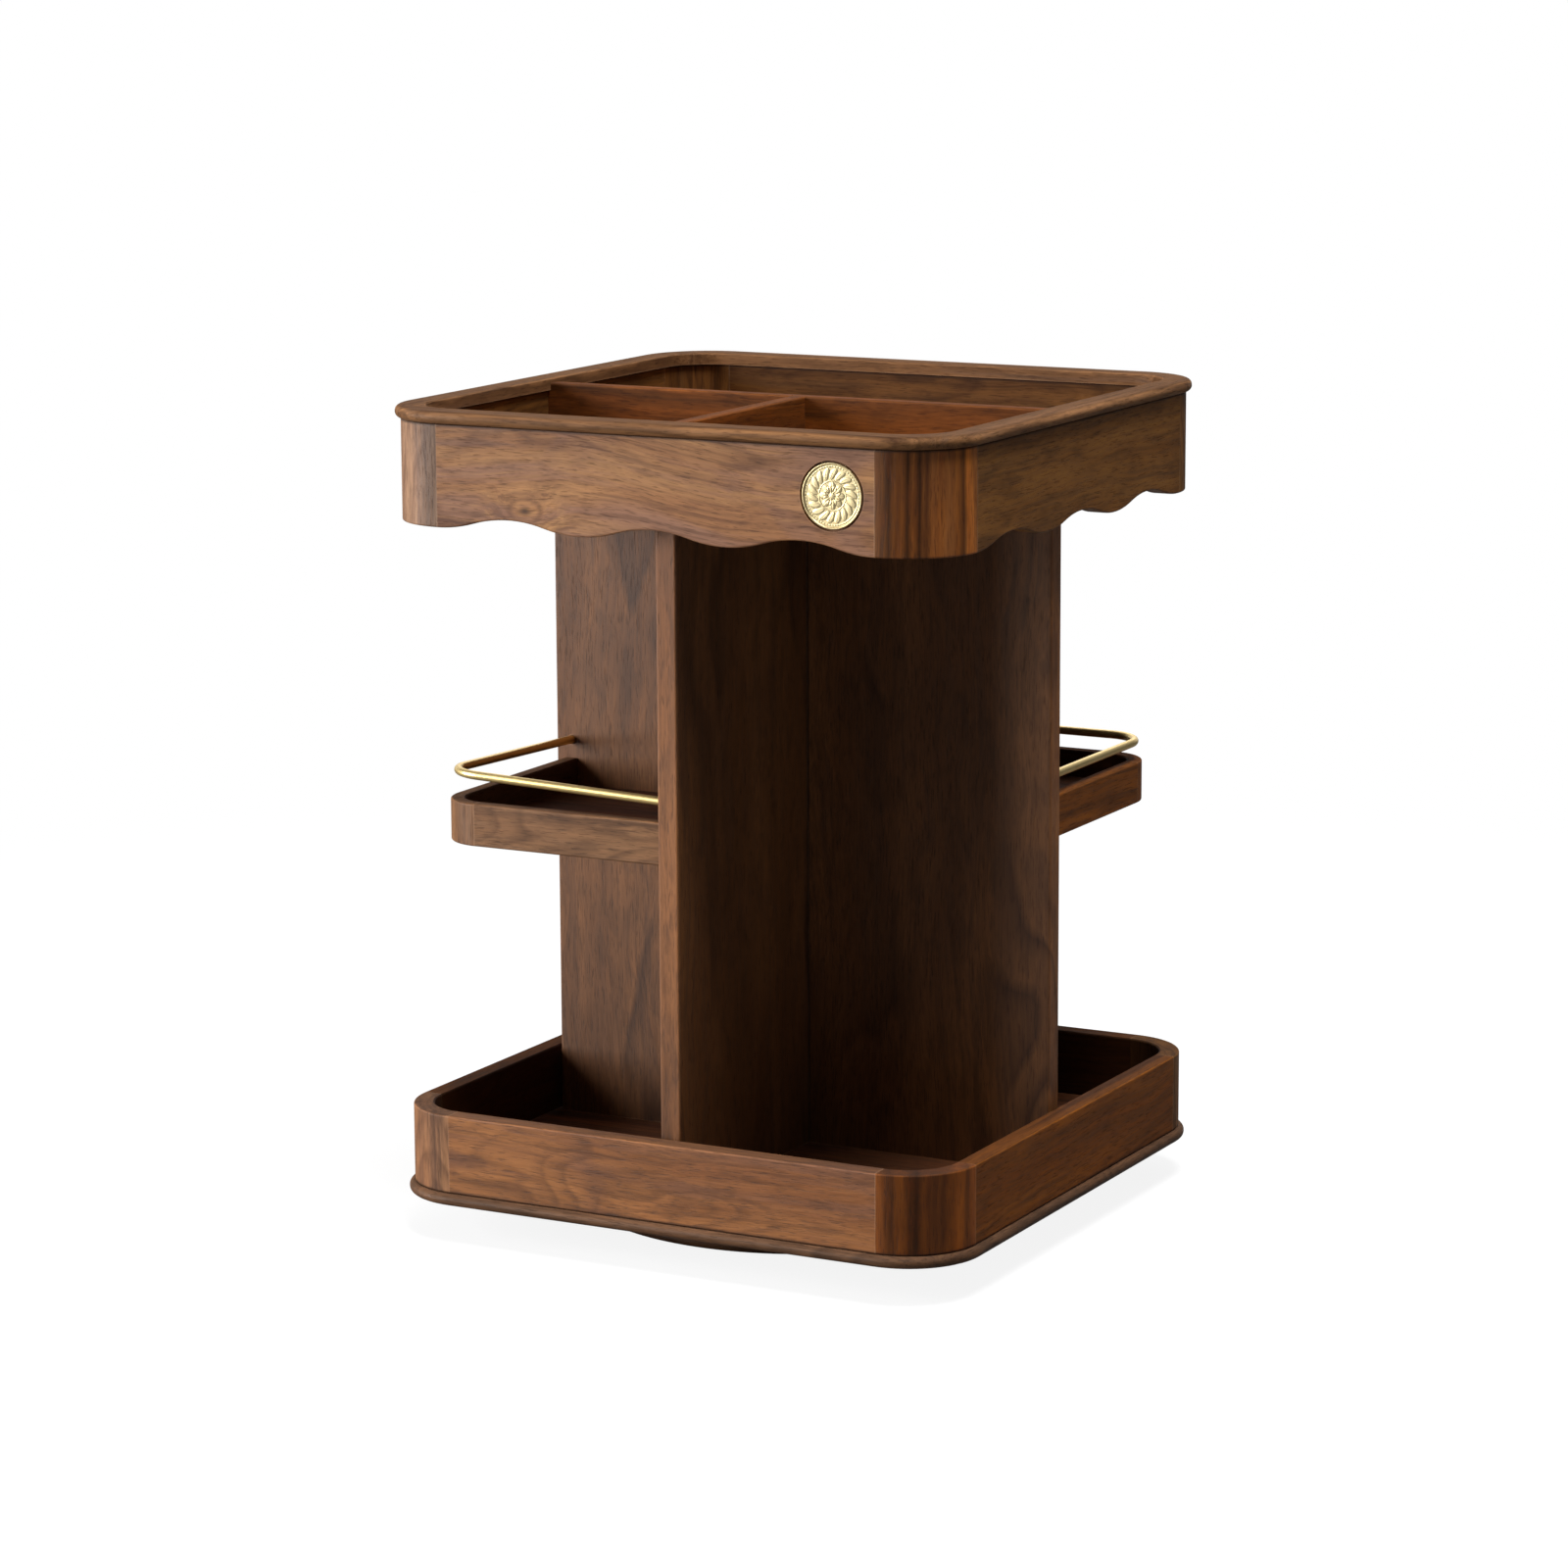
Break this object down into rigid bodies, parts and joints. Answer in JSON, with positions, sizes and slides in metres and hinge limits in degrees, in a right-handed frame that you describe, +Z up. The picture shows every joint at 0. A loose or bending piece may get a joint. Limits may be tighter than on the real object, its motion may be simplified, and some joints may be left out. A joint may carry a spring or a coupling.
{
  "type": "rotating makeup organizer",
  "caption": "Square revolving organizer in dark wood: upper and lower trays joined by crossed upright panels, shelf trays with brass rails, on a round turntable foot.",
  "frame": {"origin": "centre of the turntable foot on the surface that it stands on", "axes": "+Z up along the turntable's axis, -Y towards the front with the medallion, +X to the right"},
  "size_m": [0.2546, 0.2546, 0.3367],
  "materials": {
    "walnut": "satin",
    "dowel_wood": "matte",
    "brass": "polished",
    "medallion_brass": "satin",
    "bearing_steel": "satin",
    "screw_steel": "satin",
    "ball_steel": "polished",
    "cage_plastic": "matte",
    "pad_rubber": "matte"
  },
  "bodies": {
    "foot": {"foot_disc": "walnut", "foot_pads": "pad_rubber", "bearing_inner_ring": "bearing_steel", "inner_ring_screws": "screw_steel"},
    "cage": {"ball_cage": "cage_plastic", "bearing_balls": "ball_steel"},
    "organizer": {"bearing_outer_ring": "bearing_steel", "outer_ring_screws": "screw_steel", "panel_screws": "screw_steel", "base_plate": "walnut", "base_floor": "walnut", "panel_across": "walnut", "panel_deep": "walnut", "panel_dowels": "dowel_wood", "tray_floor": "walnut", "top_rim": "walnut", "divider_long": "walnut", "divider_short": "walnut", "rail_left": "brass", "rail_right": "brass", "medallion": "medallion_brass", "base_wall_front": "walnut", "skirt_front": "walnut", "base_wall_back": "walnut", "skirt_back": "walnut", "base_wall_left": "walnut", "skirt_left": "walnut", "base_wall_right": "walnut", "skirt_right": "walnut", "base_corner_front_left": "walnut", "skirt_corner_front_left": "walnut", "base_corner_front_right": "walnut", "skirt_corner_front_right": "walnut", "base_corner_back_left": "walnut", "skirt_corner_back_left": "walnut", "base_corner_back_right": "walnut", "skirt_corner_back_right": "walnut", "shelf_left_floor": "walnut", "shelf_left_front_lip": "walnut", "shelf_left_side_lip": "walnut", "shelf_left_corner": "walnut", "shelf_left_dowels": "dowel_wood", "shelf_right_floor": "walnut", "shelf_right_back_lip": "walnut", "shelf_right_side_lip": "walnut", "shelf_right_corner": "walnut", "shelf_right_dowels": "dowel_wood"}
  },
  "joints": [
    {"name": "turntable_spin", "type": "hinge", "parent": "foot", "child": "organizer", "pos_m": [0, 0, 0.0125], "axis": [0, 0, 1], "continuous": true},
    {"name": "cage_spin", "type": "hinge", "parent": "foot", "child": "cage", "pos_m": [0, 0, 0.0125], "axis": [0, 0, 1], "continuous": true}
  ],
  "couplings": [
    {"joint": "cage_spin", "follows": "turntable_spin", "ratio": 0.5117}
  ]
}
